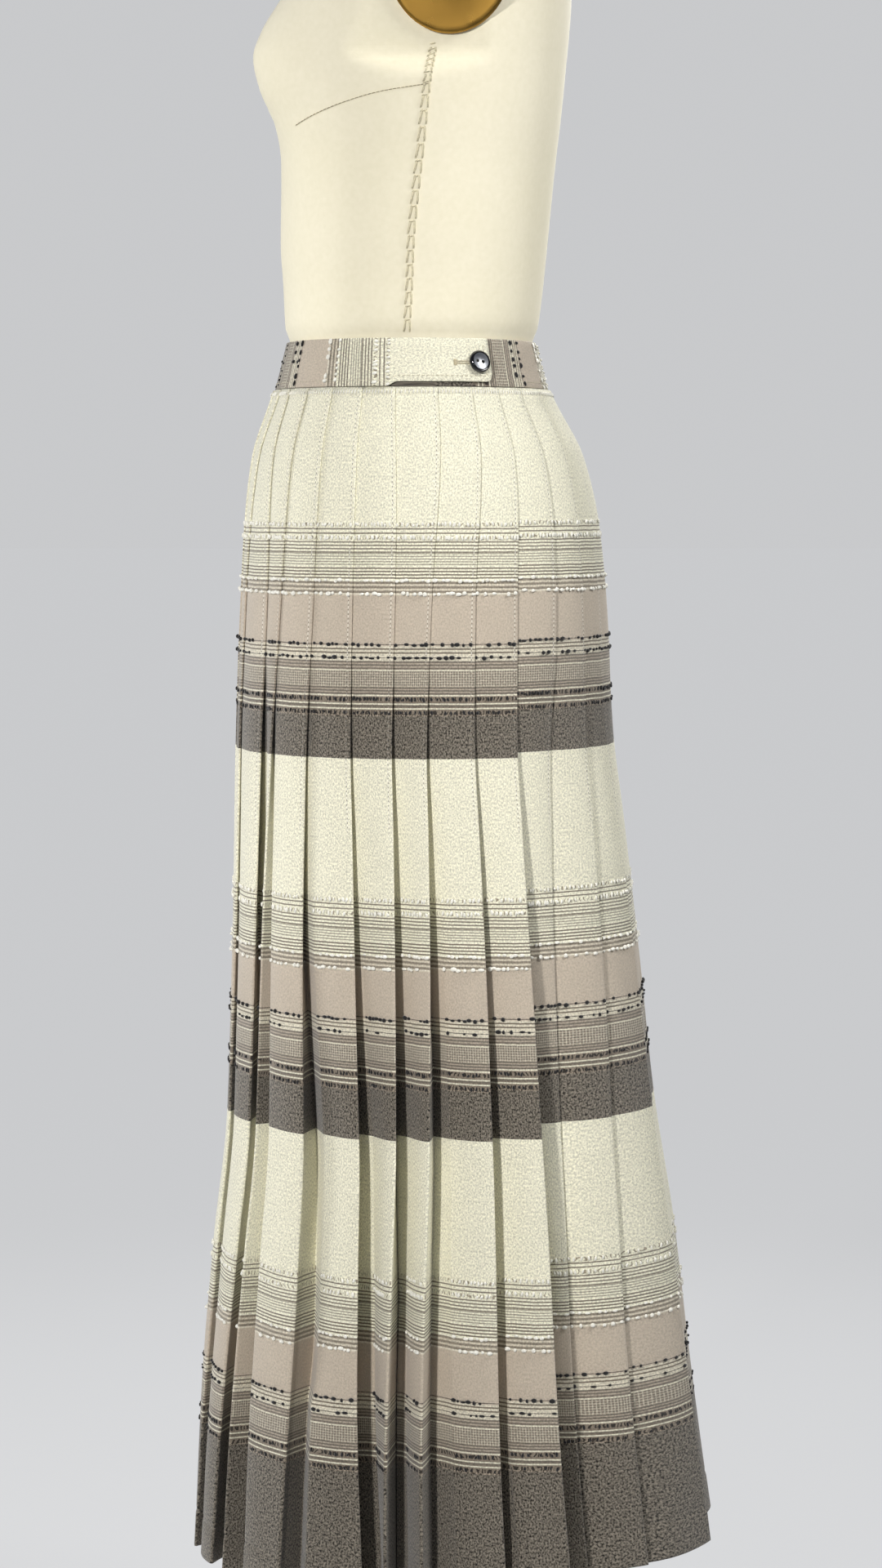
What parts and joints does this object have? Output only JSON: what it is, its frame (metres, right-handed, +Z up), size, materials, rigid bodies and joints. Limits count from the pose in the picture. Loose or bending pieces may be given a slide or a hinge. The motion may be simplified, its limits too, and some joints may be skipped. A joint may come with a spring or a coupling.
{
  "type": "pleated skirt on dress form",
  "caption": "Long knife-pleated skirt with a buttoned waistband tab, worn by a limbless dress form on a pole stand.",
  "frame": {"origin": "on the floor under the middle of the object's box", "axes": "+Z up, the wearer's front towards -Y, the wearer's left towards +X"},
  "size_m": [0.4434, 0.4074, 1.5393],
  "materials": {
    "skirt_cloth": "woven wool with cream, taupe and charcoal bands, pinstripes and slub rows",
    "waistband_cloth": "the same wool cut crosswise, so that its bands stand upright",
    "button": "glossy black with two thread holes",
    "form_linen": "smooth ivory linen over a padded shell",
    "gold_metal": "satin gold",
    "pole_steel": "brushed",
    "base_iron": "black enamel"
  },
  "bodies": {
    "root": {"skirt_front": "skirt_cloth", "skirt_back": "skirt_cloth", "waistband": "waistband_cloth", "button": "button", "dress_form_torso": "form_linen", "neck_cap": "gold_metal", "arm_plate_left": "gold_metal", "arm_plate_right": "gold_metal", "stand_pole": "pole_steel", "stand_base": "base_iron"}
  },
  "joints": []
}
